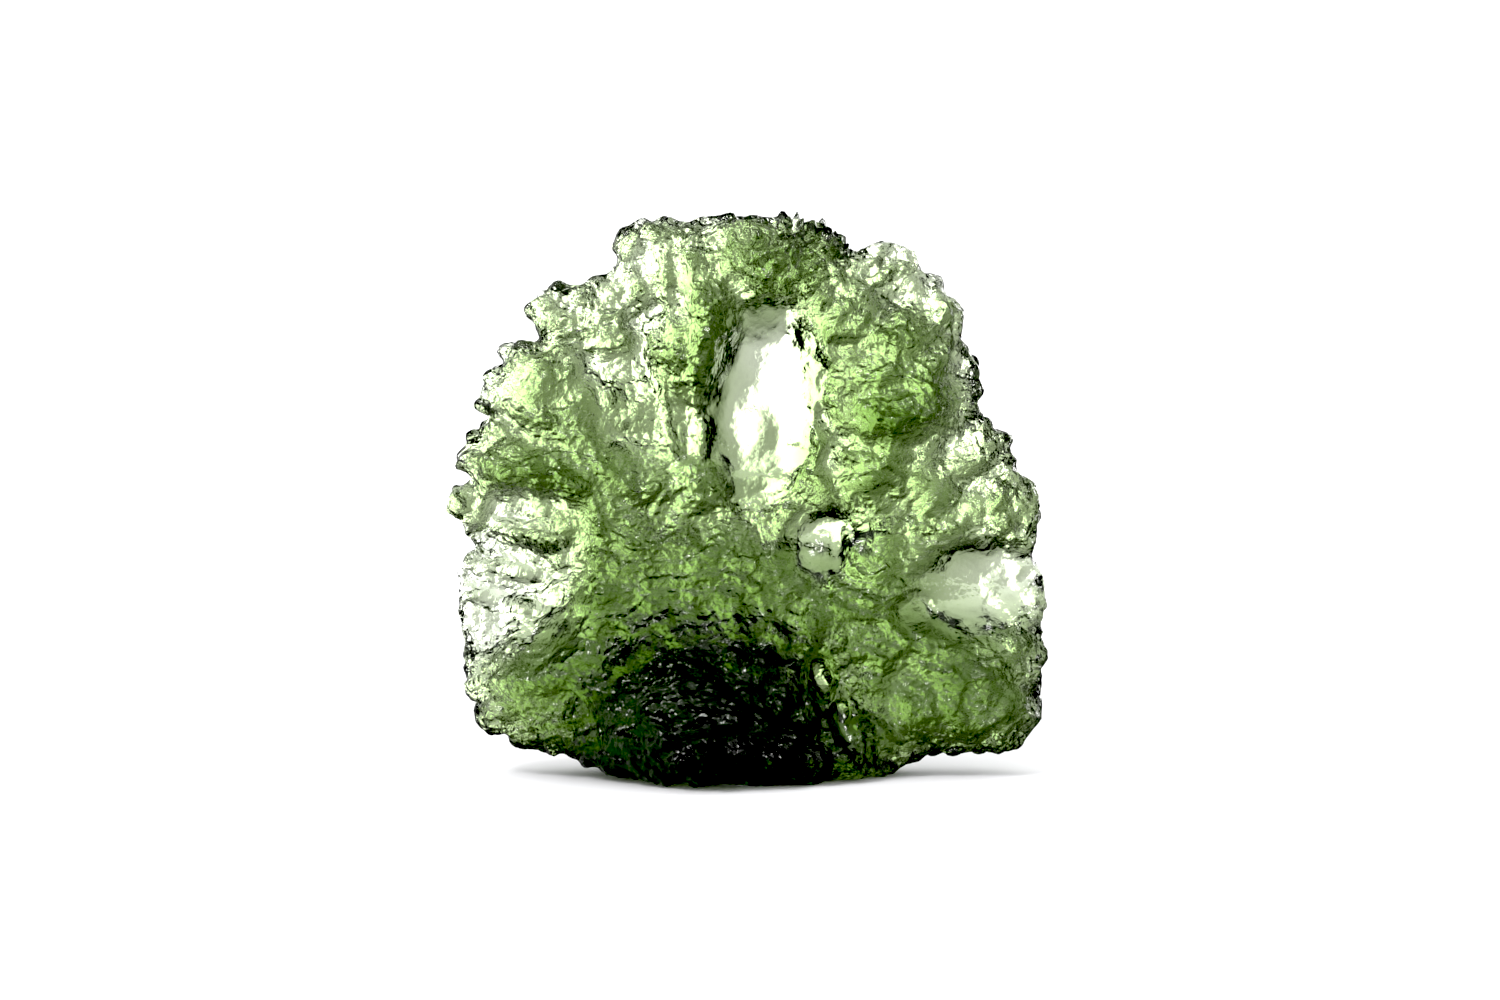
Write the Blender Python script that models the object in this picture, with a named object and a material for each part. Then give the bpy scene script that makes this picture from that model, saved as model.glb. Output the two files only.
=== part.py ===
"""A moldavite: one fan-shaped piece of natural green glass, standing on a small flat spot under its belly.

Metres, +Z up. The origin is on the surface that the stone stands on, under the middle of its box.
The stone faces -Y: its belly swells that way, and its large hollows are worn into that face.
The plan of the stone is drawn in millimetres, x to the right and z up as seen from the front.
"""

import math
import random

import bmesh
import bpy
import numpy as np
from mathutils import Vector, noise

MM = 0.001

# Driving dimensions, in millimetres
BLANK_CELL = 0.26
RIM_HALF = 0.5
RIM_UNEVEN = 0.28
RIM_WAVES = 0.6
RIM_TAPER = 4.2
FRONT_BODY = 1.0
BACK_BODY = 1.05
FRONT_SPREAD = 0.8
BACK_SPREAD = 0.95
SPREAD_REACH = 20.0
THINNEST = 0.9
BELLY_CENTRE = (-1.9, 0.0)
BELLY_RADII = (5.7, 6.1)
BELLY_FRONT = 4.2
BELLY_BACK = 2.9
BELLY_FALL = 1.4
LEAN_BACK = 0.9
STONE_TOP = 23.3
FOOT_SNAP = 0.13
MOST_TRIANGLES = 9400
SEED = 15

# The edge of the fan, clockwise from the left end of the foot. The foot itself is drawn a little too
# deep, and is cut flat at z = 0 at the end.
LEFT_SIDE = [
    (-4.9, 0.0), (-6.9, 0.5), (-8.8, 1.0), (-10.6, 1.7), (-11.2, 2.2), (-11.4, 2.9), (-11.8, 3.7),
    (-11.7, 5.4), (-12.0, 7.0), (-12.0, 8.0), (-11.9, 8.8), (-11.2, 9.5), (-11.9, 10.5),
    (-12.5, 11.1), (-12.1, 11.9), (-11.5, 12.3), (-12.1, 13.3), (-11.4, 14.3), (-10.6, 14.9),
    (-11.2, 15.4), (-11.2, 15.9), (-10.7, 16.7), (-10.1, 17.2), (-10.3, 17.7), (-9.4, 18.1),
    (-8.5, 18.2), (-8.8, 18.9), (-9.3, 19.3), (-8.6, 20.0), (-8.0, 20.4), (-6.5, 20.5),
    (-5.9, 20.8), (-5.2, 21.1), (-5.5, 22.0), (-5.2, 22.6), (-4.6, 23.0), (-3.8, 23.3),
]
RIGHT_SIDE = [
    (-2.1, 23.1), (0.4, 23.3), (1.2, 23.3), (1.8, 23.0), (2.8, 22.8), (3.9, 22.6), (3.9, 21.9),
    (4.6, 21.7), (5.8, 22.3), (6.5, 22.1), (7.1, 21.6), (7.8, 20.9), (8.5, 20.1), (9.1, 19.5),
    (8.9, 18.8), (9.1, 18.1), (9.7, 17.0), (9.4, 16.5), (10.0, 16.0), (9.7, 15.2), (10.5, 14.5),
    (11.1, 14.1), (11.1, 12.9), (11.9, 12.2), (12.3, 10.9), (12.0, 9.1), (12.3, 8.6), (12.5, 8.0),
    (12.4, 6.0), (12.6, 5.3), (12.4, 4.3), (12.1, 3.2), (12.3, 2.3), (11.9, 1.7), (11.3, 1.2),
    (10.4, 0.9), (9.0, 0.9), (7.7, 0.7), (6.3, 0.3),
]
FOOT = [(5.0, -0.2), (3.0, -0.5), (0.0, -0.65), (-3.0, -0.45)]
EDGE = LEFT_SIDE + RIGHT_SIDE + FOOT

# Forms of a face: centre x, z, radii across and along, lean, depth, wall power. The lean is in degrees,
# to the right at the top. A positive depth is a bowl worn in, and a negative one is a swelling. A wall
# power of 2 is a round bowl, and a higher one has a flatter floor and a steeper wall. A last value, where
# there is one, is the tilt: the share by which the floor is deeper at its left side.
FRONT_FORMS = {
    "upper right swelling": (6.6, 17.8, 2.7, 3.8, 0, -0.6, 2.0),
    "right foot swelling": (9.2, 2.8, 3.8, 2.6, 10, -0.5, 2.0),
    "middle foot swelling": (3.6, 1.0, 3.2, 2.2, 0, -1.3, 2.0),
    "left foot swelling": (-8.4, 2.8, 3.2, 2.4, 0, -0.3, 2.0),
    "pit shoulder swelling": (-1.7, 18.3, 1.5, 2.8, 14, -1.3, 2.0),
    "right pit shoulder swelling": (4.1, 19.5, 1.3, 1.7, 0, -0.6, 2.0),
    "top swelling": (1.6, 21.6, 3.0, 1.6, 0, -0.8, 2.0),
    "right cheek swelling": (6.6, 16.4, 2.4, 2.8, 0, -0.5, 2.0),
    "right brow swelling": (6.4, 15.3, 2.7, 1.1, -12, -0.9, 2.0),
    "left brow swelling": (-8.9, 12.7, 2.8, 1.1, 10, -1.0, 2.0),
    "right rim swelling": (11.3, 10.8, 1.2, 2.4, -15, -0.8, 2.0),
    "upper right rim swelling": (10.3, 14.0, 1.2, 1.3, 0, -0.4, 2.0),
    "centre pit": (0.8, 15.75, 2.55, 4.65, 8, 0.9, 5.0),
    "upper pit": (0.3, 17.3, 1.6, 2.8, 12, 0.35, 2.4, 0.3),
    "pit right slope": (3.0, 16.4, 1.8, 3.9, 8, -0.6, 1.2),
    "pit head": (1.9, 19.2, 0.8, 1.6, 12, 0.45, 2.2),
    "right scoop": (9.3, 9.9, 3.5, 5.0, -22, 0.6, 5.0, 0.3),
    "right scoop floor": (9.6, 7.9, 3.1, 2.2, -20, 0.8, 3.2, 0.2),
    "right scoop head": (7.9, 13.9, 2.3, 1.5, 0, 0.5, 3.0),
    "left scoop": (-9.5, 8.5, 3.3, 4.4, 17, 1.35, 3.2),
    "left scoop strip": (-6.9, 9.6, 0.8, 2.5, 5, 0.5, 2.0, 0.8),
    "left scoop head": (-8.9, 11.2, 1.9, 0.9, 8, 0.7, 3.0),
    "left scoop ledge": (-9.3, 10.1, 2.1, 0.6, 12, -0.7, 2.0),
    "left scoop lower ledge": (-10.0, 8.7, 1.8, 0.5, 18, -0.6, 2.0),
    "left scoop third ledge": (-10.2, 7.3, 1.9, 0.5, 15, -0.6, 2.0),
    "left scoop floor": (-8.9, 7.1, 2.6, 2.3, 25, 0.7, 2.2),
    "left scoop lip": (-11.3, 4.9, 1.7, 2.4, 0, 0.9, 2.0),
    "upper left scoop": (-4.6, 15.2, 2.2, 3.4, -42, 1.2, 3.2),
    "upper left basin": (-6.8, 17.6, 1.6, 2.0, -40, 0.4, 2.2),
    "brow dish": (0.8, 10.7, 3.8, 1.6, 0, 0.5, 2.0),
    "upper right dish": (6.6, 19.9, 2.0, 1.3, -20, 0.7, 2.0),
    "right fold": (5.7, 17.6, 2.5, 0.85, 10, 0.7, 2.0),
    "second right fold": (6.7, 16.0, 2.4, 0.75, 12, 0.6, 2.0),
    "shoulder pit": (3.1, 9.6, 1.8, 2.0, 15, 0.85, 2.6, 0.5),
    "shoulder strip": (4.2, 8.7, 0.7, 1.7, -15, 0.4, 2.0, 0.8),
    "round pit": (5.3, 10.1, 0.95, 0.95, 0, 0.5, 2.4),
    "lower round pit": (7.0, 6.9, 0.95, 0.95, 0, 0.75, 4.0),
    "crescent pit": (6.9, 4.5, 1.3, 1.0, -30, 0.5, 2.4),
    "left cheek dish": (-4.2, 11.0, 1.9, 1.0, 8, 0.5, 2.0),
    "left brow pit": (-5.4, 5.9, 0.85, 0.75, 30, 0.5, 2.4),
    "left foot pit": (-8.0, 3.3, 0.95, 1.0, 0, 0.4, 2.4),
    "left corner pit": (-10.0, 3.3, 1.0, 0.8, 30, 0.35, 2.2),
    "crest pit": (3.1, 4.3, 0.75, 1.2, -12, 0.7, 3.0, 0.6),
    "lower crest pit": (4.1, 2.5, 0.6, 1.0, -15, 0.6, 3.0, 0.6),
    "flute basin": (-3.4, 20.0, 1.6, 2.6, -12, 0.35, 2.0),
    "right rim notch": (8.9, 16.5, 1.0, 1.8, -10, 0.6, 2.0, 0.5),
    "first flute": (-3.9, 20.9, 0.5, 2.0, -14, 0.65, 2.0),
    "second flute": (-2.7, 20.2, 0.5, 2.4, -8, 0.65, 2.0),
    "third flute": (-4.5, 18.4, 0.5, 2.0, -20, 0.6, 2.0),
    "left flute": (-9.8, 14.9, 0.45, 2.3, -50, 0.5, 2.0),
    "column groove": (3.6, 13.9, 0.55, 2.6, -7, 0.5, 2.0),
    "first cell": (3.5, 16.6, 0.5, 0.7, 0, 0.4, 2.0, 0.5),
    "second cell": (3.4, 14.9, 0.5, 0.7, 0, 0.4, 2.0, 0.5),
    "third cell": (3.6, 13.1, 0.65, 0.7, 0, 0.6, 2.0, 0.6),
    "fourth cell": (4.2, 14.3, 0.5, 0.6, 0, 0.5, 2.0, 0.6),
}
BACK_FORMS = {
    "right foot swelling": (9.2, 3.0, 3.8, 2.8, 10, -0.3, 2.0),
    "top swelling": (1.6, 21.6, 3.0, 1.6, 0, -0.5, 2.0),
    "right brow swelling": (6.6, 15.2, 3.0, 2.2, -12, -0.4, 2.0),
    "middle scoop": (0.6, 15.3, 3.6, 5.3, 8, 1.0, 3.5),
    "brow dish": (0.8, 10.4, 3.8, 1.8, 0, 0.5, 2.0),
    "left scoop": (-9.8, 7.6, 3.0, 3.2, 15, 0.8, 2.2),
    "right hollow": (9.8, 7.8, 2.9, 2.7, -20, 0.75, 2.2),
    "top left scoop": (-5.2, 18.2, 2.3, 3.0, -30, 0.6, 2.2),
    "top right scoop": (6.0, 20.0, 2.0, 1.8, 28, 0.4, 2.2),
    "cheek dish": (-3.4, 11.0, 1.7, 2.0, -15, 0.5, 2.2),
    "right cheek dish": (3.6, 9.6, 1.9, 2.2, 20, 0.9, 2.2),
    "crest hollow": (3.6, 3.4, 1.5, 2.6, -29, 1.2, 3.0),
}

# The forms whose floors the etching left smooth, how much of the small relief is missing there, and
# how strong that relief is on each face
SMOOTH_FLOORS = (
    "centre pit", "right scoop floor", "left scoop floor", "upper left scoop", "shoulder pit", "round pit",
    "lower round pit", "crest pit", "lower crest pit", "middle scoop", "right hollow", "right cheek dish",
)
FLOOR_CALM = 0.85
FLOOR_SPREAD = 1.4
FRONT_RELIEF = 1.0
BACK_RELIEF = 0.33

# The smaller pits that cover both faces, the belly's scales in rows that curve round the foot, the
# ledges above them, and the grooves that spread out from the belly like the rays of a shell
PIT_SPACING = 1.75
PIT_RADII = (0.75, 1.35)
PIT_DEPTHS = (0.18, 0.38)
ROWS_CENTRE = (-0.6, -1.6)
ROW_STEP = 1.15
ROW_COUNT = 10
SCALE_WIDTH = 1.4
SCALE_RADII = (0.72, 0.95)
SCALE_HEIGHT = 0.85
SCALES_END = 1.36
SCALES_FADE = 0.37
LEDGE_STEP = 1.3
LEDGE_HEIGHT = 0.3
BELLY_LEDGES = 0.25
LEDGE_FLATNESS = 1.9
LEDGE_RISE = 0.75
DRIFT_WAVES = 0.35
RAYS = 30
RAY_DEPTH = 0.26
RAYS_START = 9.0
RAYS_FULL = 16.0
ROUGHNESS = 0.12
ROUGHNESS_SCALE = 1.1
EDGE_ROUGHNESS = 0.36
EDGE_ROUGHNESS_WIDTH = 1.6
RELIEF_START = 0.625


def clear_scene():
    for obj in list(bpy.data.objects):
        bpy.data.objects.remove(obj, do_unlink=True)


def evaluated_mesh(obj):
    """The mesh of an object with its modifiers applied."""
    graph = bpy.context.evaluated_depsgraph_get()
    graph.update()
    return bpy.data.meshes.new_from_object(obj.evaluated_get(graph))


def blank_plate():
    """A plate with the fan's edge, RIM_HALF thick to either side, in small even cells and millimetres."""
    bm = bmesh.new()
    front = bm.faces.new([bm.verts.new((x, -RIM_HALF, z)) for x, z in EDGE])
    pushed = bmesh.ops.extrude_face_region(bm, geom=[front])["geom"]
    back = [v for v in pushed if isinstance(v, bmesh.types.BMVert)]
    bmesh.ops.translate(bm, vec=(0.0, 2 * RIM_HALF, 0.0), verts=back)
    bmesh.ops.recalc_face_normals(bm, faces=bm.faces)
    mesh = bpy.data.meshes.new("blank")
    bm.to_mesh(mesh)
    bm.free()
    obj = bpy.data.objects.new("blank", mesh)
    bpy.context.scene.collection.objects.link(obj)
    remesh = obj.modifiers.new("Even cells", "REMESH")
    remesh.mode = "VOXEL"
    remesh.voxel_size = BLANK_CELL
    even = evaluated_mesh(obj)
    bpy.data.objects.remove(obj, do_unlink=True)
    return even


def edge_distance(x, z):
    """How far each point of the plan is from the fan's edge."""
    edge = np.array(EDGE)
    nearest = np.full(len(x), np.inf)
    for start, end in zip(edge, np.roll(edge, -1, axis=0)):
        along = end - start
        share = ((x - start[0]) * along[0] + (z - start[1]) * along[1]) / (along @ along)
        share = np.clip(share, 0.0, 1.0)
        gap = np.hypot(x - start[0] - share * along[0], z - start[1] - share * along[1])
        nearest = np.minimum(nearest, gap)
    return nearest


def bowl(x, z, centre_x, centre_z, radius_across, radius_along, lean, depth, power, tilt=0.0):
    """The depth that one bowl takes off a face at each point of the plan."""
    angle = math.radians(lean)
    across = (x - centre_x) * math.cos(angle) - (z - centre_z) * math.sin(angle)
    along = (x - centre_x) * math.sin(angle) + (z - centre_z) * math.cos(angle)
    reach = np.hypot(across / radius_across, along / radius_along)
    return depth * np.clip(1.0 - reach**power, 0.0, None) * (1.0 - tilt * across / radius_across)


def scattered(spacing, rng):
    """Points on an uneven net over the whole fan."""
    across = int(13.5 / spacing)
    up = int(24.0 / spacing)
    for row in range(up + 1):
        for column in range(-across, across + 1):
            x = (column + 0.5 * (row % 2) + rng.uniform(-0.42, 0.42)) * spacing
            z = (row + rng.uniform(-0.42, 0.42)) * spacing
            yield x, z


def belly_reach(x, z):
    """0 at the belly's centre and 1 at its edge."""
    return np.hypot((x - BELLY_CENTRE[0]) / BELLY_RADII[0], (z - BELLY_CENTRE[1]) / BELLY_RADII[1])


def small_pits(x, z, rng):
    """Overlapping round pits, with a sharp ridge wherever two meet."""
    deepest = np.zeros(len(x))
    for pit_x, pit_z in scattered(PIT_SPACING, rng):
        radius = rng.uniform(*PIT_RADII)
        stretch = rng.uniform(0.8, 1.3)
        turn = rng.uniform(-40, 40)
        depth = rng.uniform(*PIT_DEPTHS)
        pit = bowl(x, z, pit_x, pit_z, radius, radius * stretch, turn, depth, 2.0)
        deepest = np.maximum(deepest, pit)
    return deepest


def scale_places(rng):
    """The middles of the belly's scales, in rows that curve round the foot."""
    for row in range(2, ROW_COUNT):
        radius = row * ROW_STEP
        count = int(2 * math.pi * radius / SCALE_WIDTH)
        for place in range(count):
            angle = 2 * math.pi * (place + 0.5 * (row % 2) + rng.uniform(-0.2, 0.2)) / count
            away = radius + rng.uniform(-0.2, 0.2)
            yield ROWS_CENTRE[0] + away * math.sin(angle), ROWS_CENTRE[1] + away * math.cos(angle)


def belly_scales(x, z, rng):
    """Round lumps like fish scales, with a sharp groove wherever two meet."""
    highest = np.zeros(len(x))
    for scale_x, scale_z in scale_places(rng):
        radius = rng.uniform(*SCALE_RADII)
        height = SCALE_HEIGHT * rng.uniform(0.7, 1.2)
        lump = bowl(x, z, scale_x, scale_z, radius * 1.2, radius, rng.uniform(-25, 25), height, 2.0)
        highest = np.maximum(highest, lump)
    return highest


def wander(x, z, scale, offset):
    """Slow noise over the plan, about -0.5 to 0.5."""
    return np.array([noise.noise(Vector((a * scale, offset, b * scale))) for a, b in zip(x, z)])


def ledges(x, z, drift):
    """Worn steps that curve round the foot, each rising slowly and dropping off sharply."""
    away = np.hypot((x - ROWS_CENTRE[0]) / LEDGE_FLATNESS, z - ROWS_CENTRE[1])
    phase = (away / LEDGE_STEP + 2.0 * drift) % 1.0
    return LEDGE_HEIGHT * np.where(phase < LEDGE_RISE, phase / LEDGE_RISE, (1.0 - phase) / (1.0 - LEDGE_RISE))


def rays(x, z, drift):
    """Grooves that fan out from the belly, with sharp ridges between them, deeper towards the top."""
    angle = np.arctan2(x - BELLY_CENTRE[0], z - BELLY_CENTRE[1])
    away = np.hypot(x - BELLY_CENTRE[0], z - BELLY_CENTRE[1])
    strength = np.clip((away - RAYS_START) / (RAYS_FULL - RAYS_START), 0.0, 1.0)
    return RAY_DEPTH * strength * np.abs(np.cos(RAYS * angle + 5.0 * drift))


def floor_calm(x, z, forms):
    """1 on the floors that the etching left smooth, and 0 away from them."""
    calm = np.zeros(len(x))
    for name, placing in forms.items():
        if name in SMOOTH_FLOORS:
            depth = placing[5]
            calm = np.maximum(calm, bowl(x, z, *placing) / depth)
    return np.clip(FLOOR_SPREAD * calm, 0.0, 1.0)


def face_depth(x, z, body, spread, belly, forms, relief_share, seed):
    """How far one face of the stone lies from the middle plane."""
    rng = random.Random(seed)
    drift = wander(x, z, DRIFT_WAVES, 7.3)
    rim = RIM_HALF + RIM_UNEVEN * wander(x, z, RIM_WAVES, seed)
    taper = np.sqrt(1.0 - (1.0 - np.clip(edge_distance(x, z) / RIM_TAPER, 0.0, 1.0)) ** 2)
    reach = belly_reach(x, z)
    away = np.hypot(x - BELLY_CENTRE[0], z - BELLY_CENTRE[1])
    fan = spread * np.clip(1.0 - away / SPREAD_REACH, 0.0, None)
    swell = belly * np.clip(1.0 - reach**2, 0.0, None) ** BELLY_FALL
    depth = rim + (body + fan + swell) * taper
    for placing in forms.values():
        depth = depth - bowl(x, z, *placing)
    in_belly = np.clip((SCALES_END - reach) / SCALES_FADE, 0.0, 1.0)
    relief = -small_pits(x, z, rng) * (1.0 - in_belly)
    relief = relief + belly_scales(x, z, rng) * in_belly
    relief = relief + ledges(x, z, drift) * (1.0 - (1.0 - BELLY_LEDGES) * in_belly)
    relief = relief - rays(x, z, drift)
    relief = relief * relief_share * (1.0 - FLOOR_CALM * floor_calm(x, z, forms))
    return depth + relief * np.clip(taper / RELIEF_START, 0.0, 1.0)


def shape_stone(mesh):
    """Turns the even plate into the stone: its two faces, its lean and its broken rim."""
    points = np.empty(len(mesh.vertices) * 3, np.float32)
    mesh.vertices.foreach_get("co", points)
    points = points.reshape(-1, 3).astype(float)
    x, y, z = points.T
    front = face_depth(x, z, FRONT_BODY, FRONT_SPREAD, BELLY_FRONT, FRONT_FORMS, FRONT_RELIEF, SEED)
    back = face_depth(x, z, BACK_BODY, BACK_SPREAD, BELLY_BACK, BACK_FORMS, BACK_RELIEF, SEED + 1)
    short = np.clip(THINNEST - front - back, 0.0, None)
    front = front + short / 2
    back = back + short / 2
    side = np.clip(y / RIM_HALF, -1.0, 1.0)
    lean = LEAN_BACK * (z / STONE_TOP) ** 2
    points[:, 1] = lean + (side + 1) / 2 * (front + back) - front
    mesh.vertices.foreach_set("co", points.astype(np.float32).ravel())
    mesh.update()
    roughen(mesh, points, edge_distance(x, z))


def roughen(mesh, points, from_edge):
    """Pushes every point in or out along its normal, most of all on the broken rim."""
    for vertex, point, distance in zip(mesh.vertices, points, from_edge):
        place = Vector(point) / ROUGHNESS_SCALE
        near_rim = max(0.0, 1.0 - distance / EDGE_ROUGHNESS_WIDTH)
        push = ROUGHNESS * noise.noise(place)
        push += EDGE_ROUGHNESS * near_rim * noise.noise(place * 1.5 + Vector((3.1, 0.0, 5.7)))
        vertex.co += vertex.normal * push
    mesh.update()


def thinned(mesh):
    """The same surface in at most MOST_TRIANGLES triangles, with small ones where it bends most."""
    obj = bpy.data.objects.new("worn stone", mesh)
    bpy.context.scene.collection.objects.link(obj)
    smooth = obj.modifiers.new("Soften", "SMOOTH")
    smooth.factor = 0.5
    smooth.iterations = 1
    whole = obj.modifiers.new("Triangles", "TRIANGULATE")
    whole.keep_custom_normals = False
    fewer = obj.modifiers.new("Thin out", "DECIMATE")
    fewer.ratio = MOST_TRIANGLES / (2 * len(mesh.polygons))
    thin = evaluated_mesh(obj)
    bpy.data.objects.remove(obj, do_unlink=True)
    return thin


def cut_foot(mesh):
    """Cuts the belly's underside flat at z = 0 and closes it with one level face."""
    bm = bmesh.new()
    bm.from_mesh(mesh)
    for vertex in bm.verts:
        if abs(vertex.co.z) < FOOT_SNAP:
            vertex.co.z = 0.0
    parts = bm.verts[:] + bm.edges[:] + bm.faces[:]
    cut = bmesh.ops.bisect_plane(
        bm, geom=parts, dist=1e-4, plane_co=(0, 0, 0), plane_no=(0, 0, 1), clear_inner=True
    )
    rim = [e for e in cut["geom_cut"] if isinstance(e, bmesh.types.BMEdge) and e.is_boundary]
    bmesh.ops.contextual_create(bm, geom=rim)
    bmesh.ops.triangulate(bm, faces=bm.faces)
    bmesh.ops.recalc_face_normals(bm, faces=bm.faces)
    bm.to_mesh(mesh)
    bm.free()


def centre_and_scale(mesh):
    """Puts the middle of the stone's box over the origin, and turns millimetres into metres."""
    points = np.array([v.co for v in mesh.vertices])
    middle = (points.min(0) + points.max(0)) / 2
    for vertex in mesh.vertices:
        vertex.co.x = (vertex.co.x - middle[0]) * MM
        vertex.co.y = (vertex.co.y - middle[1]) * MM
        vertex.co.z = vertex.co.z * MM
    mesh.update()


def green_glass():
    material = bpy.data.materials.new("green glass")
    material.use_nodes = True
    shader = material.node_tree.nodes["Principled BSDF"]
    shader.inputs["Base Color"].default_value = (0.33, 0.47, 0.19, 1.0)
    shader.inputs["Metallic"].default_value = 0.0
    shader.inputs["Roughness"].default_value = 0.22
    shader.inputs["IOR"].default_value = 1.49
    shader.inputs["Transmission Weight"].default_value = 0.85
    return material


def moldavite():
    plate = blank_plate()
    shape_stone(plate)
    mesh = thinned(plate)
    cut_foot(mesh)
    centre_and_scale(mesh)
    mesh.name = "moldavite"
    mesh.materials.append(green_glass())
    mesh.shade_smooth()
    mesh.set_sharp_from_angle(angle=math.radians(50))
    stone = bpy.data.objects.new("moldavite", mesh)
    bpy.context.scene.collection.objects.link(stone)
    return stone


def main():
    clear_scene()
    moldavite()


main()
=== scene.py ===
"""Dresses the moldavite: its etched, pitted skin, its see-through green glass, and a pale studio for it.

The finished stone is in metres, +Z up: it stands on z = 0 and its belly faces -Y. It is drawn and carved
in millimetres, on a plan with x to the right and z up as seen from the front, and made metres at the end.
"""

import math
import random

import bpy
import numpy as np
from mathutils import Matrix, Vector, noise


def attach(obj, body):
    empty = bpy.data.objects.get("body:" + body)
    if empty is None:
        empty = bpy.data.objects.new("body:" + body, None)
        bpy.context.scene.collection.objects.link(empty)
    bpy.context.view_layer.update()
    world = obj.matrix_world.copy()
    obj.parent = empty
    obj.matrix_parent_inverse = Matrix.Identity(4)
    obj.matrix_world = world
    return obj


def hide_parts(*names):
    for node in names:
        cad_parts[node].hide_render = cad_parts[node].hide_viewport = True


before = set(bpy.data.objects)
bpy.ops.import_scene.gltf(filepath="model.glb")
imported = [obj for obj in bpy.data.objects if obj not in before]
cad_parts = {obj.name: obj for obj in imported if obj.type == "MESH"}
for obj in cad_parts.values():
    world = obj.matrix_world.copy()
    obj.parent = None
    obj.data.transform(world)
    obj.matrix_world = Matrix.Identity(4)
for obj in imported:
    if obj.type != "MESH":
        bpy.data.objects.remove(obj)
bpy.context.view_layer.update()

bl_info = {
    "name": "Moldavite",
    "version": (1, 0, 0),
    "blender": (4, 5, 0),
    "location": "View3D > Sidebar > Moldavite",
    "description": "A fan-shaped piece of natural green glass on a pale studio floor",
    "category": "Object",
}

MM = 0.001

# The stone's thickness, in millimetres
RIM_HALF = 0.5
RIM_UNEVEN = 0.28
RIM_WAVES = 0.6
RIM_TAPER = 4.2
FRONT_BODY = 1.0
BACK_BODY = 1.05
FRONT_SPREAD = 0.8
BACK_SPREAD = 0.95
SPREAD_REACH = 20.0
THINNEST = 0.9
BELLY_CENTRE = (-1.9, 0.0)
BELLY_RADII = (5.7, 6.1)
BELLY_FRONT = 4.2
BELLY_BACK = 2.9
BELLY_FALL = 1.4
LEAN_BACK = 0.9
STONE_TOP = 23.3
FOOT_SNAP = 0.04
SEED = 15

# The edge of the fan, clockwise from the left end of the foot, which is drawn a little too deep
LEFT_SIDE = [
    (-4.9, 0.0), (-6.9, 0.5), (-8.8, 1.0), (-10.6, 1.7), (-11.2, 2.2), (-11.4, 2.9), (-11.8, 3.7),
    (-11.7, 5.4), (-12.0, 7.0), (-12.0, 8.0), (-11.9, 8.8), (-11.2, 9.5), (-11.9, 10.5),
    (-12.5, 11.1), (-12.1, 11.9), (-11.5, 12.3), (-12.1, 13.3), (-11.4, 14.3), (-10.6, 14.9),
    (-11.2, 15.4), (-11.2, 15.9), (-10.7, 16.7), (-10.1, 17.2), (-10.3, 17.7), (-9.4, 18.1),
    (-8.5, 18.2), (-8.8, 18.9), (-9.3, 19.3), (-8.6, 20.0), (-8.0, 20.4), (-6.5, 20.5),
    (-5.9, 20.8), (-5.2, 21.1), (-5.5, 22.0), (-5.2, 22.6), (-4.6, 23.0), (-3.8, 23.3),
]
RIGHT_SIDE = [
    (-2.1, 23.1), (0.4, 23.3), (1.2, 23.3), (1.8, 23.0), (2.8, 22.8), (3.9, 22.6), (3.9, 21.9),
    (4.6, 21.7), (5.8, 22.3), (6.5, 22.1), (7.1, 21.6), (7.8, 20.9), (8.5, 20.1), (9.1, 19.5),
    (8.9, 18.8), (9.1, 18.1), (9.7, 17.0), (9.4, 16.5), (10.0, 16.0), (9.7, 15.2), (10.5, 14.5),
    (11.1, 14.1), (11.1, 12.9), (11.9, 12.2), (12.3, 10.9), (12.0, 9.1), (12.3, 8.6), (12.5, 8.0),
    (12.4, 6.0), (12.6, 5.3), (12.4, 4.3), (12.1, 3.2), (12.3, 2.3), (11.9, 1.7), (11.3, 1.2),
    (10.4, 0.9), (9.0, 0.9), (7.7, 0.7), (6.3, 0.3),
]
FOOT = [(5.0, -0.2), (3.0, -0.5), (0.0, -0.65), (-3.0, -0.45)]
EDGE = LEFT_SIDE + RIGHT_SIDE + FOOT

# The net that the small pits are scattered on: half its width, and its height
NET_HALF_WIDTH = 13.5
NET_HEIGHT = 24.0

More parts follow.
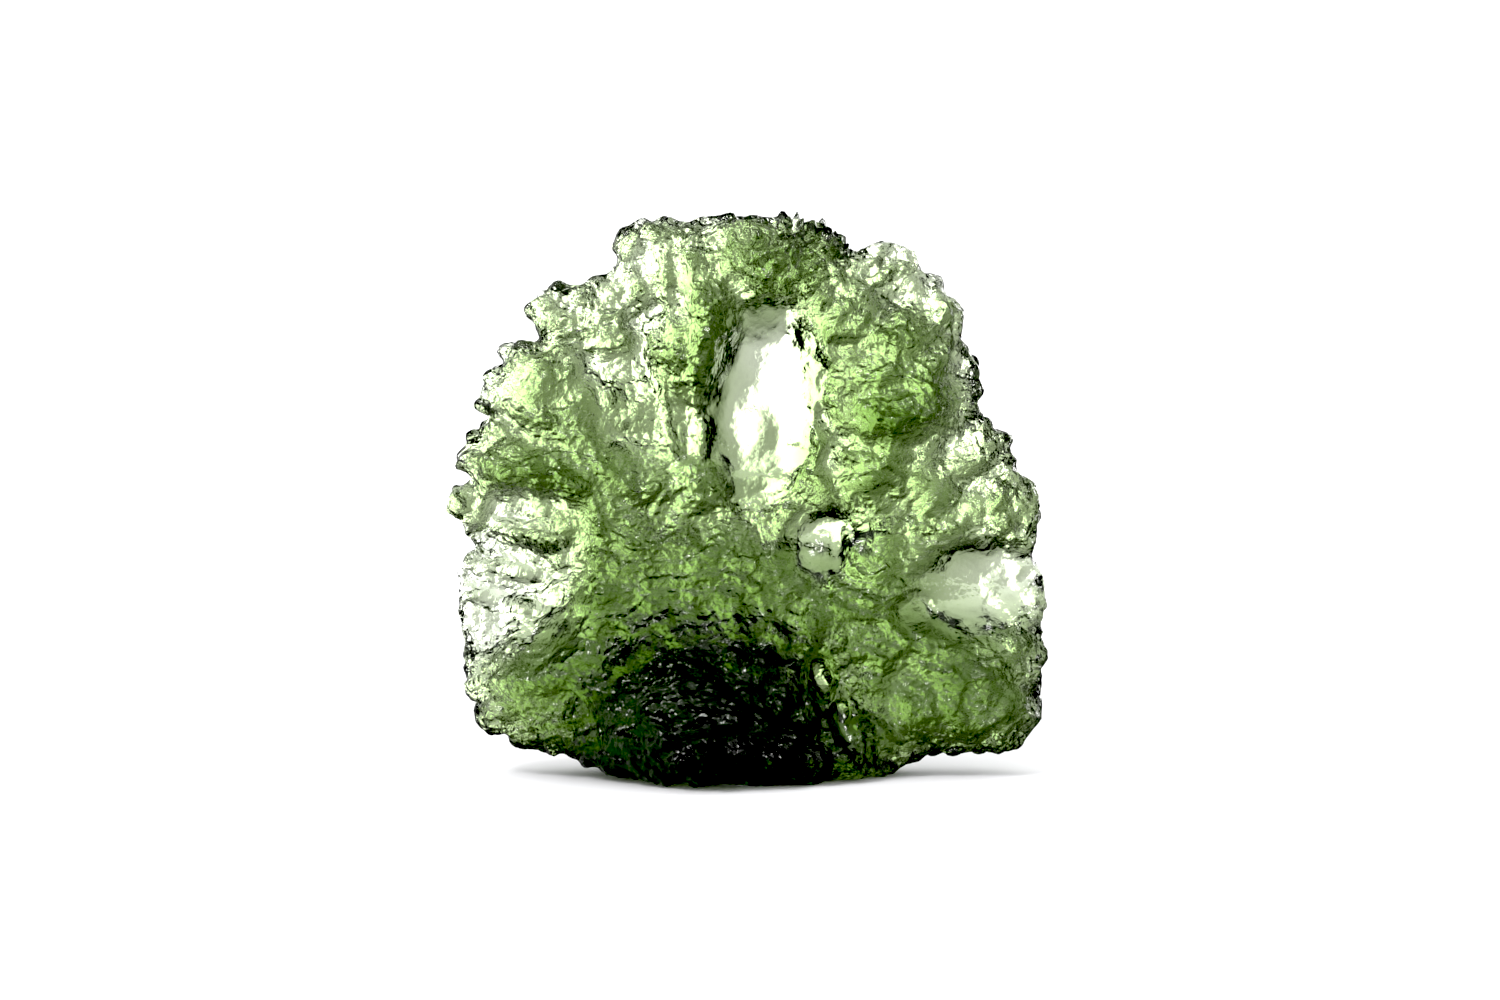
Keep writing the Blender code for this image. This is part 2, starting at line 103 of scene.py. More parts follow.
# Forms of a face: centre x, z, radii across and along, lean, depth, wall power. The lean is in degrees,
# to the right at the top. A positive depth is a bowl worn in, and a negative one is a swelling. A wall
# power of 2 is a round bowl, and a higher one has a flatter floor and a steeper wall. A last value, where
# there is one, is the tilt: the share by which the floor is deeper at its left side.
ROUND_WALL = 2.0
FRONT_FORMS = {
    "upper right swelling": (6.6, 17.8, 2.7, 3.8, 0, -0.6, 2.0),
    "right foot swelling": (9.2, 2.8, 3.8, 2.6, 10, -0.5, 2.0),
    "middle foot swelling": (3.6, 1.0, 3.2, 2.2, 0, -1.3, 2.0),
    "left foot swelling": (-8.4, 2.8, 3.2, 2.4, 0, -0.3, 2.0),
    "pit shoulder swelling": (-1.7, 18.3, 1.5, 2.8, 14, -1.3, 2.0),
    "right pit shoulder swelling": (4.1, 19.5, 1.3, 1.7, 0, -0.6, 2.0),
    "top swelling": (1.6, 21.6, 3.0, 1.6, 0, -0.8, 2.0),
    "right cheek swelling": (6.6, 16.4, 2.4, 2.8, 0, -0.5, 2.0),
    "right brow swelling": (6.4, 15.3, 2.7, 1.1, -12, -0.9, 2.0),
    "left brow swelling": (-8.9, 12.7, 2.8, 1.1, 10, -1.0, 2.0),
    "right rim swelling": (11.3, 10.8, 1.2, 2.4, -15, -0.8, 2.0),
    "upper right rim swelling": (10.3, 14.0, 1.2, 1.3, 0, -0.4, 2.0),
    "centre pit": (0.8, 15.75, 2.55, 4.65, 8, 0.9, 5.0),
    "upper pit": (0.3, 17.3, 1.6, 2.8, 12, 0.35, 2.4, 0.3),
    "pit right slope": (3.0, 16.4, 1.8, 3.9, 8, -0.6, 1.2),
    "pit head": (1.9, 19.2, 0.8, 1.6, 12, 0.45, 2.2),
    "right scoop": (9.3, 9.9, 3.5, 5.0, -22, 0.6, 5.0, 0.3),
    "right scoop floor": (9.6, 7.9, 3.1, 2.2, -20, 0.8, 3.2, 0.2),
    "right scoop head": (7.9, 13.9, 2.3, 1.5, 0, 0.5, 3.0),
    "left scoop": (-9.5, 8.5, 3.3, 4.4, 17, 1.35, 3.2),
    "left scoop strip": (-6.9, 9.6, 0.8, 2.5, 5, 0.5, 2.0, 0.8),
    "left scoop head": (-8.9, 11.2, 1.9, 0.9, 8, 0.7, 3.0),
    "left scoop ledge": (-9.3, 10.1, 2.1, 0.6, 12, -0.7, 2.0),
    "left scoop lower ledge": (-10.0, 8.7, 1.8, 0.5, 18, -0.6, 2.0),
    "left scoop third ledge": (-10.2, 7.3, 1.9, 0.5, 15, -0.6, 2.0),
    "left scoop floor": (-8.9, 7.1, 2.6, 2.3, 25, 0.7, 2.2),
    "left scoop lip": (-11.3, 4.9, 1.7, 2.4, 0, 0.9, 2.0),
    "upper left scoop": (-4.6, 15.2, 2.2, 3.4, -42, 1.2, 3.2),
    "upper left basin": (-6.8, 17.6, 1.6, 2.0, -40, 0.4, 2.2),
    "brow dish": (0.8, 10.7, 3.8, 1.6, 0, 0.5, 2.0),
    "upper right dish": (6.6, 19.9, 2.0, 1.3, -20, 0.7, 2.0),
    "right fold": (5.7, 17.6, 2.5, 0.85, 10, 0.7, 2.0),
    "second right fold": (6.7, 16.0, 2.4, 0.75, 12, 0.6, 2.0),
    "shoulder pit": (3.1, 9.6, 1.8, 2.0, 15, 0.85, 2.6, 0.5),
    "shoulder strip": (4.2, 8.7, 0.7, 1.7, -15, 0.4, 2.0, 0.8),
    "round pit": (5.3, 10.1, 0.95, 0.95, 0, 0.5, 2.4),
    "lower round pit": (7.0, 6.9, 0.95, 0.95, 0, 0.75, 4.0),
    "crescent pit": (6.9, 4.5, 1.3, 1.0, -30, 0.5, 2.4),
    "left cheek dish": (-4.2, 11.0, 1.9, 1.0, 8, 0.5, 2.0),
    "left brow pit": (-5.4, 5.9, 0.85, 0.75, 30, 0.5, 2.4),
    "left foot pit": (-8.0, 3.3, 0.95, 1.0, 0, 0.4, 2.4),
    "left corner pit": (-10.0, 3.3, 1.0, 0.8, 30, 0.35, 2.2),
    "crest pit": (3.1, 4.3, 0.75, 1.2, -12, 0.7, 3.0, 0.6),
    "lower crest pit": (4.1, 2.5, 0.6, 1.0, -15, 0.6, 3.0, 0.6),
    "flute basin": (-3.4, 20.0, 1.6, 2.6, -12, 0.35, 2.0),
    "right rim notch": (8.9, 16.5, 1.0, 1.8, -10, 0.6, 2.0, 0.5),
    "first flute": (-3.9, 20.9, 0.5, 2.0, -14, 0.65, 2.0),
    "second flute": (-2.7, 20.2, 0.5, 2.4, -8, 0.65, 2.0),
    "third flute": (-4.5, 18.4, 0.5, 2.0, -20, 0.6, 2.0),
    "left flute": (-9.8, 14.9, 0.45, 2.3, -50, 0.5, 2.0),
    "column groove": (3.6, 13.9, 0.55, 2.6, -7, 0.5, 2.0),
    "first cell": (3.5, 16.6, 0.5, 0.7, 0, 0.4, 2.0, 0.5),
    "second cell": (3.4, 14.9, 0.5, 0.7, 0, 0.4, 2.0, 0.5),
    "third cell": (3.6, 13.1, 0.65, 0.7, 0, 0.6, 2.0, 0.6),
    "fourth cell": (4.2, 14.3, 0.5, 0.6, 0, 0.5, 2.0, 0.6),
}
BACK_FORMS = {
    "right foot swelling": (9.2, 3.0, 3.8, 2.8, 10, -0.3, 2.0),
    "top swelling": (1.6, 21.6, 3.0, 1.6, 0, -0.5, 2.0),
    "right brow swelling": (6.6, 15.2, 3.0, 2.2, -12, -0.4, 2.0),
    "middle scoop": (0.6, 15.3, 3.6, 5.3, 8, 1.0, 3.5),
    "brow dish": (0.8, 10.4, 3.8, 1.8, 0, 0.5, 2.0),
    "left scoop": (-9.8, 7.6, 3.0, 3.2, 15, 0.8, 2.2),
    "right hollow": (9.8, 7.8, 2.9, 2.7, -20, 0.75, 2.2),
    "top left scoop": (-5.2, 18.2, 2.3, 3.0, -30, 0.6, 2.2),
    "top right scoop": (6.0, 20.0, 2.0, 1.8, 28, 0.4, 2.2),
    "cheek dish": (-3.4, 11.0, 1.7, 2.0, -15, 0.5, 2.2),
    "right cheek dish": (3.6, 9.6, 1.9, 2.2, 20, 0.9, 2.2),
    "crest hollow": (3.6, 3.4, 1.5, 2.6, -29, 1.2, 3.0),
}

# The forms whose floors the etching left smooth, how much of the small relief is missing there, and
# how strong that relief is on each face
SMOOTH_FLOORS = (
    "centre pit", "right scoop floor", "left scoop floor", "upper left scoop", "shoulder pit", "round pit",
    "lower round pit", "crest pit", "lower crest pit", "middle scoop", "right hollow", "right cheek dish",
)
FLOOR_CALM = 0.85
FLOOR_SPREAD = 1.4
FRONT_RELIEF = 1.0
BACK_RELIEF = 0.33

# The smaller pits that cover both faces, the belly's scales in rows that curve round the foot, the
# ledges above them, and the grooves that spread out from the belly like the rays of a shell
PIT_SPACING = 1.75
PIT_SHIFT = 0.42
PIT_RADII = (0.75, 1.35)
PIT_STRETCHES = (0.8, 1.3)
PIT_TURNS = (-40, 40)
PIT_DEPTHS = (0.18, 0.38)
ROWS_CENTRE = (-0.6, -1.6)
ROW_STEP = 1.15
FIRST_ROW = 2
ROW_COUNT = 10
SCALE_SHIFT = 0.2
SCALE_WIDTH = 1.4
SCALE_RADII = (0.72, 0.95)
SCALE_STRETCH = 1.2
SCALE_TURNS = (-25, 25)
SCALE_HEIGHT = 0.85
SCALE_HEIGHT_SHARES = (0.7, 1.2)
SCALES_END = 1.36
SCALES_FADE = 0.37
LEDGE_STEP = 1.3
LEDGE_HEIGHT = 0.3
BELLY_LEDGES = 0.25
LEDGE_FLATNESS = 1.9
LEDGE_RISE = 0.75
LEDGE_DRIFT = 2.0
DRIFT_WAVES = 0.35
DRIFT_OFFSET = 7.3
RAYS = 30
RAY_DRIFT = 5.0
RAY_DEPTH = 0.26
RAYS_START = 9.0
RAYS_FULL = 16.0
ROUGHNESS = 0.12
ROUGHNESS_SCALE = 1.1
EDGE_ROUGHNESS = 0.36
EDGE_ROUGHNESS_WIDTH = 1.6
EDGE_ROUGHNESS_FINENESS = 1.5
EDGE_ROUGHNESS_OFFSET = (3.1, 0.0, 5.7)
RELIEF_START = 0.625

# The skin that is too fine for the solid: pits in two sizes, grain, the teeth of the rim, and the crust
# at the top. The first plate has coarser cells than the skin, and the front's share of the relief gives
# way to the back's where the normal turns round the rim.
PLATE_CELLS = 1.2
RIM_TURNOVER = 2.0
ETCH_SIZES = (0.95, 0.42)
ETCH_DEPTHS = (0.13, 0.08)
ETCH_REACH = 0.62
GRAIN = 0.07
GRAIN_SCALE = 0.3
TEETH = 0.16
TEETH_SCALE = 0.55
TEETH_WIDTH = 1.1
CRUST_CENTRE = (2.1, 21.9)
CRUST_RADII = (2.9, 1.9)
CRUST_ROUGHNESS = 1.35
CRUST_SCALE = 0.45

# The glass: its skin, and how strong the bumps are on the smooth floors
SKIN_ROUGHNESS = 0.1
GRAIN_BUMP_SCALE = 5200.0
GRAIN_BUMP_DETAIL = 2.0
GRAIN_BUMP_DEPTH = 0.00007
PIT_BUMP_SCALE = 3300.0
PIT_BUMP_DEPTH = 0.0001
FLOOR_BUMP = 0.25

# The lights of the sky: direction, edge and core angles in degrees, and strength. The low light and the
# wide one stand behind the stone. Below the floor's level they reach only rays inside the glass, and
# ABOVE_FLOOR shows them to the rest. The fill lights all round make its edges and its belly sparkle.
LOW_LIGHT = ((0.5, 0.85, -0.22), 34, 10, 6.0)
WIDE_LIGHT = ((0, 1, -0.1), 50, 12, 0.8)
ABOVE_FLOOR = ((0, 0, 1), 92, 86, 1.0)
FILL_LIGHTS = [
    ((-1.0, 0.1, -0.05), 50, 15, 0.9),
    ((0.6, -0.9, -0.05), 50, 15, 0.6),
    ((-0.6, 0.8, -0.1), 40, 12, 0.25),
    ((-0.45, -0.5, 0.75), 12, 4, 22.0),
    ((-0.1, -0.6, 0.75), 48, 15, 1.2),
]
DIM_SKY = 0.04
PALE_SKY = (1.7, 1.7, 1.72, 1)

# The stage, in metres: the floor lies a hair under the stone, and the camera looks at the stone's middle
FLOOR_SIDES = 96
FLOOR_RADIUS = 0.035
FLOOR_DROP = 0.00002
FLOOR_COLOUR = (0.9, 0.9, 0.91, 1)
FLOOR_ROUGHNESS = 0.6
LOOKED_AT = (0.0001, 0.0, 0.0116)
LENS = 150
SENSOR_WIDTH = 36
NEAREST_SEEN = 0.001
FARTHEST_SEEN = 20
BLACK_LEVEL = 0.03


def only(obj):
    """Leaves one object selected and active."""
    bpy.ops.object.select_all(action="DESELECT")
    obj.select_set(True)
    bpy.context.view_layer.objects.active = obj


def apply_modifier(obj, name, kind, **settings):
    modifier = obj.modifiers.new(name, kind)
    for key, value in settings.items():
        setattr(modifier, key, value)
    only(obj)
    bpy.ops.object.modifier_apply(modifier=name)


def vertex_values(mesh, name):
    """A vertex vector, such as co or normal, as an array of rows."""
    values = np.empty(len(mesh.vertices) * 3, np.float32)
    mesh.vertices.foreach_get(name, values)
    return values.reshape(-1, 3).astype(float)


def set_points(mesh, points):
    mesh.vertices.foreach_set("co", points.astype(np.float32).ravel())
    mesh.update()


def edge_distance(x, z):
    """How far each point of the plan is from the fan's edge."""
    edge = np.array(EDGE)
    nearest = np.full(len(x), np.inf)
    for start, end in zip(edge, np.roll(edge, -1, axis=0)):
        along = end - start
        share = ((x - start[0]) * along[0] + (z - start[1]) * along[1]) / (along @ along)
        share = np.clip(share, 0.0, 1.0)
        gap = np.hypot(x - start[0] - share * along[0], z - start[1] - share * along[1])
        nearest = np.minimum(nearest, gap)
    return nearest


def bowl(x, z, centre_x, centre_z, radius_across, radius_along, lean, depth, power, tilt=0.0):
    """The depth that one bowl takes off a face at each point of the plan."""
    angle = math.radians(lean)
    across = (x - centre_x) * math.cos(angle) - (z - centre_z) * math.sin(angle)
    along = (x - centre_x) * math.sin(angle) + (z - centre_z) * math.cos(angle)
    reach = np.hypot(across / radius_across, along / radius_along)
    return depth * np.clip(1.0 - reach**power, 0.0, None) * (1.0 - tilt * across / radius_across)


def scattered(spacing, rng):
    """Points on an uneven net over the whole fan."""
    across = int(NET_HALF_WIDTH / spacing)
    up = int(NET_HEIGHT / spacing)
    for row in range(up + 1):
        for column in range(-across, across + 1):
            x = (column + 0.5 * (row % 2) + rng.uniform(-PIT_SHIFT, PIT_SHIFT)) * spacing
            z = (row + rng.uniform(-PIT_SHIFT, PIT_SHIFT)) * spacing
            yield x, z


def belly_reach(x, z):
    """0 at the belly's centre and 1 at its edge."""
    return np.hypot((x - BELLY_CENTRE[0]) / BELLY_RADII[0], (z - BELLY_CENTRE[1]) / BELLY_RADII[1])


def small_pits(x, z, rng):
    """Overlapping round pits, with a sharp ridge wherever two meet."""
    deepest = np.zeros(len(x))
    for pit_x, pit_z in scattered(PIT_SPACING, rng):
        radius = rng.uniform(*PIT_RADII)
        stretch = rng.uniform(*PIT_STRETCHES)
        turn = rng.uniform(*PIT_TURNS)
        depth = rng.uniform(*PIT_DEPTHS)
        pit = bowl(x, z, pit_x, pit_z, radius, radius * stretch, turn, depth, ROUND_WALL)
        deepest = np.maximum(deepest, pit)
    return deepest


def scale_places(rng):
    """The middles of the belly's scales, in rows that curve round the foot."""
    for row in range(FIRST_ROW, ROW_COUNT):
        radius = row * ROW_STEP
        count = int(2 * math.pi * radius / SCALE_WIDTH)
        for place in range(count):
            shift = rng.uniform(-SCALE_SHIFT, SCALE_SHIFT)
            angle = 2 * math.pi * (place + 0.5 * (row % 2) + shift) / count
            away = radius + rng.uniform(-SCALE_SHIFT, SCALE_SHIFT)
            yield ROWS_CENTRE[0] + away * math.sin(angle), ROWS_CENTRE[1] + away * math.cos(angle)


def belly_scales(x, z, rng):
    """Round lumps like fish scales, with a sharp groove wherever two meet."""
    highest = np.zeros(len(x))
    for scale_x, scale_z in scale_places(rng):
        radius = rng.uniform(*SCALE_RADII)
        height = SCALE_HEIGHT * rng.uniform(*SCALE_HEIGHT_SHARES)
        turn = rng.uniform(*SCALE_TURNS)
        width = radius * SCALE_STRETCH
        lump = bowl(x, z, scale_x, scale_z, width, radius, turn, height, ROUND_WALL)
        highest = np.maximum(highest, lump)
    return highest


def wander(x, z, scale, offset):
    """Slow noise over the plan, about -0.5 to 0.5."""
    return np.array([noise.noise(Vector((a * scale, offset, b * scale))) for a, b in zip(x, z)])


def ledges(x, z, drift):
    """Worn steps that curve round the foot, each rising slowly and dropping off sharply."""
    away = np.hypot((x - ROWS_CENTRE[0]) / LEDGE_FLATNESS, z - ROWS_CENTRE[1])
    phase = (away / LEDGE_STEP + LEDGE_DRIFT * drift) % 1.0
    return LEDGE_HEIGHT * np.where(phase < LEDGE_RISE, phase / LEDGE_RISE, (1.0 - phase) / (1.0 - LEDGE_RISE))


def rays(x, z, drift):
    """Grooves that fan out from the belly, with sharp ridges between them, deeper towards the top."""
    angle = np.arctan2(x - BELLY_CENTRE[0], z - BELLY_CENTRE[1])
    away = np.hypot(x - BELLY_CENTRE[0], z - BELLY_CENTRE[1])
    strength = np.clip((away - RAYS_START) / (RAYS_FULL - RAYS_START), 0.0, 1.0)
    return RAY_DEPTH * strength * np.abs(np.cos(RAYS * angle + RAY_DRIFT * drift))


def floor_calm(x, z, forms):
    """1 on the floors that the etching left smooth, and 0 away from them."""
    calm = np.zeros(len(x))
    for name, placing in forms.items():
        if name in SMOOTH_FLOORS:
            depth = placing[5]
            calm = np.maximum(calm, bowl(x, z, *placing) / depth)
    return np.clip(FLOOR_SPREAD * calm, 0.0, 1.0)


def face_depth(x, z, body, spread, belly, forms, relief_share, seed):
    """How far one face of the stone lies from the middle plane."""
    rng = random.Random(seed)
    drift = wander(x, z, DRIFT_WAVES, DRIFT_OFFSET)
    rim = RIM_HALF + RIM_UNEVEN * wander(x, z, RIM_WAVES, seed)
    taper = np.sqrt(1.0 - (1.0 - np.clip(edge_distance(x, z) / RIM_TAPER, 0.0, 1.0)) ** 2)
    reach = belly_reach(x, z)
    away = np.hypot(x - BELLY_CENTRE[0], z - BELLY_CENTRE[1])
    fan = spread * np.clip(1.0 - away / SPREAD_REACH, 0.0, None)
    swell = belly * np.clip(1.0 - reach**2, 0.0, None) ** BELLY_FALL
    depth = rim + (body + fan + swell) * taper
    for placing in forms.values():
        depth = depth - bowl(x, z, *placing)
    in_belly = np.clip((SCALES_END - reach) / SCALES_FADE, 0.0, 1.0)
    relief = -small_pits(x, z, rng) * (1.0 - in_belly)
    relief = relief + belly_scales(x, z, rng) * in_belly
    relief = relief + ledges(x, z, drift) * (1.0 - (1.0 - BELLY_LEDGES) * in_belly)
    relief = relief - rays(x, z, drift)
    relief = relief * relief_share * (1.0 - FLOOR_CALM * floor_calm(x, z, forms))
    return depth + relief * np.clip(taper / RELIEF_START, 0.0, 1.0)


def blank_plate(cell):
    """A plate in small even cells, from a circle whose corners are moved to the fan's edge."""
    bpy.ops.object.select_all(action="DESELECT")
    bpy.ops.mesh.primitive_circle_add(vertices=len(EDGE), radius=NET_HALF_WIDTH, fill_type="NGON")
    plate = bpy.context.active_object
    plate.name = "worn_stone"
    for vertex, (x, z) in zip(plate.data.vertices, EDGE):
        vertex.co = (x, -RIM_HALF, z)
    bpy.ops.object.mode_set(mode="EDIT")
    bpy.ops.mesh.select_all(action="SELECT")
    bpy.ops.mesh.extrude_region_move(TRANSFORM_OT_translate={"value": (0.0, 2 * RIM_HALF, 0.0)})
    bpy.ops.mesh.select_all(action="SELECT")
    bpy.ops.mesh.normals_make_consistent(inside=False)
    bpy.ops.object.mode_set(mode="OBJECT")
    apply_modifier(plate, "Even cells", "REMESH", mode="VOXEL", voxel_size=cell)
    return plate


def swell_faces(stone):
    """Gives the plate its two faces and its lean."""
    points = vertex_values(stone.data, "co")
    x, y, z = points.T
    front = face_depth(x, z, FRONT_BODY, FRONT_SPREAD, BELLY_FRONT, FRONT_FORMS, FRONT_RELIEF, SEED)
    back = face_depth(x, z, BACK_BODY, BACK_SPREAD, BELLY_BACK, BACK_FORMS, BACK_RELIEF, SEED + 1)
    short = np.clip(THINNEST - front - back, 0.0, None)
    front = front + short / 2
    back = back + short / 2
    side = np.clip(y / RIM_HALF, -1.0, 1.0)
    points[:, 1] = LEAN_BACK * (z / STONE_TOP) ** 2 + (side + 1) / 2 * (front + back) - front
    set_points(stone.data, points)


def roughen(stone):
    """The uneven waves of both faces, and the broken rim."""
    points = vertex_values(stone.data, "co")
    normals = vertex_values(stone.data, "normal")
    from_edge = edge_distance(points[:, 0], points[:, 2])
    push = np.empty(len(points))
    for index, point in enumerate(points):
        place = Vector(point) / ROUGHNESS_SCALE
        near_rim = max(0.0, 1.0 - from_edge[index] / EDGE_ROUGHNESS_WIDTH)
        push[index] = ROUGHNESS * noise.noise(place)
        place = place * EDGE_ROUGHNESS_FINENESS + Vector(EDGE_ROUGHNESS_OFFSET)
        push[index] += EDGE_ROUGHNESS * near_rim * noise.noise(place)
    set_points(stone.data, points + normals * push[:, None])


def etch(stone):
    """The fine pits, the grain, the teeth of the rim and the crust at the top."""
    points = vertex_values(stone.data, "co")
    normals = vertex_values(stone.data, "normal")
    x, _, z = points.T
    facing_front = np.clip(0.5 - RIM_TURNOVER * normals[:, 1], 0.0, 1.0)
    calm = facing_front * floor_calm(x, z, FRONT_FORMS)
    calm = calm + (1.0 - facing_front) * floor_calm(x, z, BACK_FORMS)
    smooth = stone.data.attributes.new("smooth_floor", "FLOAT", "POINT")
    smooth.data.foreach_set("value", calm.astype(np.float32))
    share = facing_front * FRONT_RELIEF + (1.0 - facing_front) * BACK_RELIEF
    rim = np.clip(1.0 - edge_distance(x, z) / TEETH_WIDTH, 0.0, 1.0) * np.clip(z / TEETH_WIDTH, 0.0, 1.0)
    crust = bowl(x, z, *CRUST_CENTRE, *CRUST_RADII, 0, 1.0, ROUND_WALL)
    push = np.empty(len(points))
    for index, point in enumerate(points):
        place = Vector(point)
        depth = 0.0
        for size, most in zip(ETCH_SIZES, ETCH_DEPTHS):
            nearest = noise.voronoi(place / size)[0][0]
            depth += most * max(0.0, 1.0 - (nearest / ETCH_REACH) ** 2)
        depth -= GRAIN * noise.noise(place / GRAIN_SCALE)
        depth *= (1.0 - FLOOR_CALM * calm[index]) * share[index]
        depth += rim[index] * TEETH * noise.noise(place / TEETH_SCALE)
        depth += crust[index] * CRUST_ROUGHNESS * noise.noise(place / CRUST_SCALE)
        push[index] = -depth
    set_points(stone.data, points + normals * push[:, None])


def cut_foot(stone):
    """Cuts the belly's underside flat at z = 0."""
    points = vertex_values(stone.data, "co")
    points[np.abs(points[:, 2]) < FOOT_SNAP, 2] = 0.0
    set_points(stone.data, points)
    only(stone)
    bpy.ops.object.mode_set(mode="EDIT")
    bpy.ops.mesh.select_all(action="SELECT")
    bpy.ops.mesh.bisect(plane_co=(0, 0, 0), plane_no=(0, 0, 1), use_fill=True, clear_inner=True)
    bpy.ops.mesh.select_all(action="SELECT")
    bpy.ops.mesh.quads_convert_to_tris()
    bpy.ops.object.mode_set(mode="OBJECT")


def settle(stone):
    """Puts the middle of the stone's box over the origin, and turns millimetres into metres."""
    points = vertex_values(stone.data, "co")
    middle = (points.min(0) + points.max(0)) / 2
    middle[2] = 0.0
    set_points(stone.data, (points - middle) * MM)


def green_glass(settings):
    """Clear glass that darkens with depth, under a fine bumpy skin that is calmer on the smooth floors."""
    material = bpy.data.materials.new("green glass")
    material.use_nodes = True
    nodes = material.node_tree.nodes
    links = material.node_tree.links
    shader = nodes["Principled BSDF"]
    shader.inputs["Base Color"].default_value = (1, 1, 1, 1)
    shader.inputs["Roughness"].default_value = SKIN_ROUGHNESS
    shader.inputs["IOR"].default_value = settings.ior
    shader.inputs["Transmission Weight"].default_value = 1.0
    place = nodes.new("ShaderNodeTexCoord")
    grain = nodes.new("ShaderNodeTexNoise")
    grain.inputs["Scale"].default_value = GRAIN_BUMP_SCALE
    grain.inputs["Detail"].default_value = GRAIN_BUMP_DETAIL
    links.new(place.outputs["Object"], grain.inputs["Vector"])
    pits = nodes.new("ShaderNodeTexVoronoi")
    pits.inputs["Scale"].default_value = PIT_BUMP_SCALE
    links.new(place.outputs["Object"], pits.inputs["Vector"])
    fine = nodes.new("ShaderNodeBump")
    fine.inputs["Distance"].default_value = GRAIN_BUMP_DEPTH
    links.new(grain.outputs["Fac"], fine.inputs["Height"])
    pitted = nodes.new("ShaderNodeBump")
    pitted.inputs["Distance"].default_value = PIT_BUMP_DEPTH
    links.new(pits.outputs["Distance"], pitted.inputs["Height"])
    links.new(fine.outputs["Normal"], pitted.inputs["Normal"])
    links.new(pitted.outputs["Normal"], shader.inputs["Normal"])
    floors = nodes.new("ShaderNodeAttribute")
    floors.attribute_name = "smooth_floor"
    strength = nodes.new("ShaderNodeMapRange")
    strength.inputs["To Min"].default_value = 1.0
    strength.inputs["To Max"].default_value = FLOOR_BUMP
    links.new(floors.outputs["Fac"], strength.inputs["Value"])
    links.new(strength.outputs["Result"], fine.inputs["Strength"])
    links.new(strength.outputs["Result"], pitted.inputs["Strength"])
    absorb = nodes.new("ShaderNodeVolumeAbsorption")
    absorb.inputs["Color"].default_value = (*settings.colour, 1.0)
    absorb.inputs["Density"].default_value = settings.density
    links.new(absorb.outputs["Volume"], nodes["Material Output"].inputs["Volume"])
    return material


class StoneSettings(bpy.types.PropertyGroup):
    cell: bpy.props.FloatProperty(
        name="Cell", description="Size of the skin's cells, in millimetres", default=0.138, precision=3
    )


class GlassSettings(bpy.types.PropertyGroup):
    colour: bpy.props.FloatVectorProperty(
        name="Colour",
        description="What the glass lets through",
        default=(0.54, 0.635, 0.385),
        subtype="COLOR",
    )
    density: bpy.props.FloatProperty(
        name="Density", description="How fast the glass darkens with depth, per metre", default=1250.0
    )
    ior: bpy.props.FloatProperty(
        name="IOR", description="How strongly the glass bends light", default=1.49
    )


class StageSettings(bpy.types.PropertyGroup):
    distance: bpy.props.FloatProperty(
        name="Camera distance", description="From the camera to the stone", default=0.26, unit="LENGTH"
    )
    elevation: bpy.props.FloatProperty(
        name="Camera elevation",
        description="How far the camera looks down",
        default=math.radians(6),
        subtype="ANGLE",
    )


class MOLDAVITE_OT_stone(bpy.types.Operator):
    """Carves the stone: its faces, bowls, scales, ledges and etched skin"""

    bl_idname = "moldavite.stone"
    bl_label = "Stone"

    def execute(self, context):
        cell = context.scene.moldavite_stone.cell
        stone = blank_plate(cell * PLATE_CELLS)
        swell_faces(stone)
        apply_modifier(stone, "Even cells again", "REMESH", mode="VOXEL", voxel_size=cell)
        roughen(stone)
        etch(stone)
        cut_foot(stone)
        settle(stone)
        only(stone)
        bpy.ops.object.shade_smooth()
        stone.data.materials.clear()
        stone.data.materials.append(green_glass(context.scene.moldavite_glass))
        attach(stone, "root")
        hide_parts("moldavite")
        print("stone triangles", len(stone.data.polygons))
        return {"FINISHED"}


def lobe(tree, towards, edge, core, strength):
    """A soft round light in the sky: full within the core angle, gone at the edge angle, in degrees."""
    where = tree.nodes.new("ShaderNodeTexCoord")
    along = tree.nodes.new("ShaderNodeVectorMath")
    along.operation = "DOT_PRODUCT"
    along.inputs[1].default_value = Vector(towards).normalized()
    fade = tree.nodes.new("ShaderNodeMapRange")
    fade.interpolation_type = "SMOOTHSTEP"
    fade.inputs["From Min"].default_value = math.cos(math.radians(edge))
    fade.inputs["From Max"].default_value = math.cos(math.radians(core))
    fade.inputs["To Max"].default_value = strength
    tree.links.new(where.outputs["Generated"], along.inputs[0])
    tree.links.new(along.outputs["Value"], fade.inputs["Value"])
    return fade.outputs["Result"]


def combined(tree, operation, first, second):
    total = tree.nodes.new("ShaderNodeMath")
    total.operation = operation
    tree.links.new(first, total.inputs[0])
    if isinstance(second, float):
        total.inputs[1].default_value = second
    else:
        tree.links.new(second, total.inputs[1])
    return total.outputs["Value"]


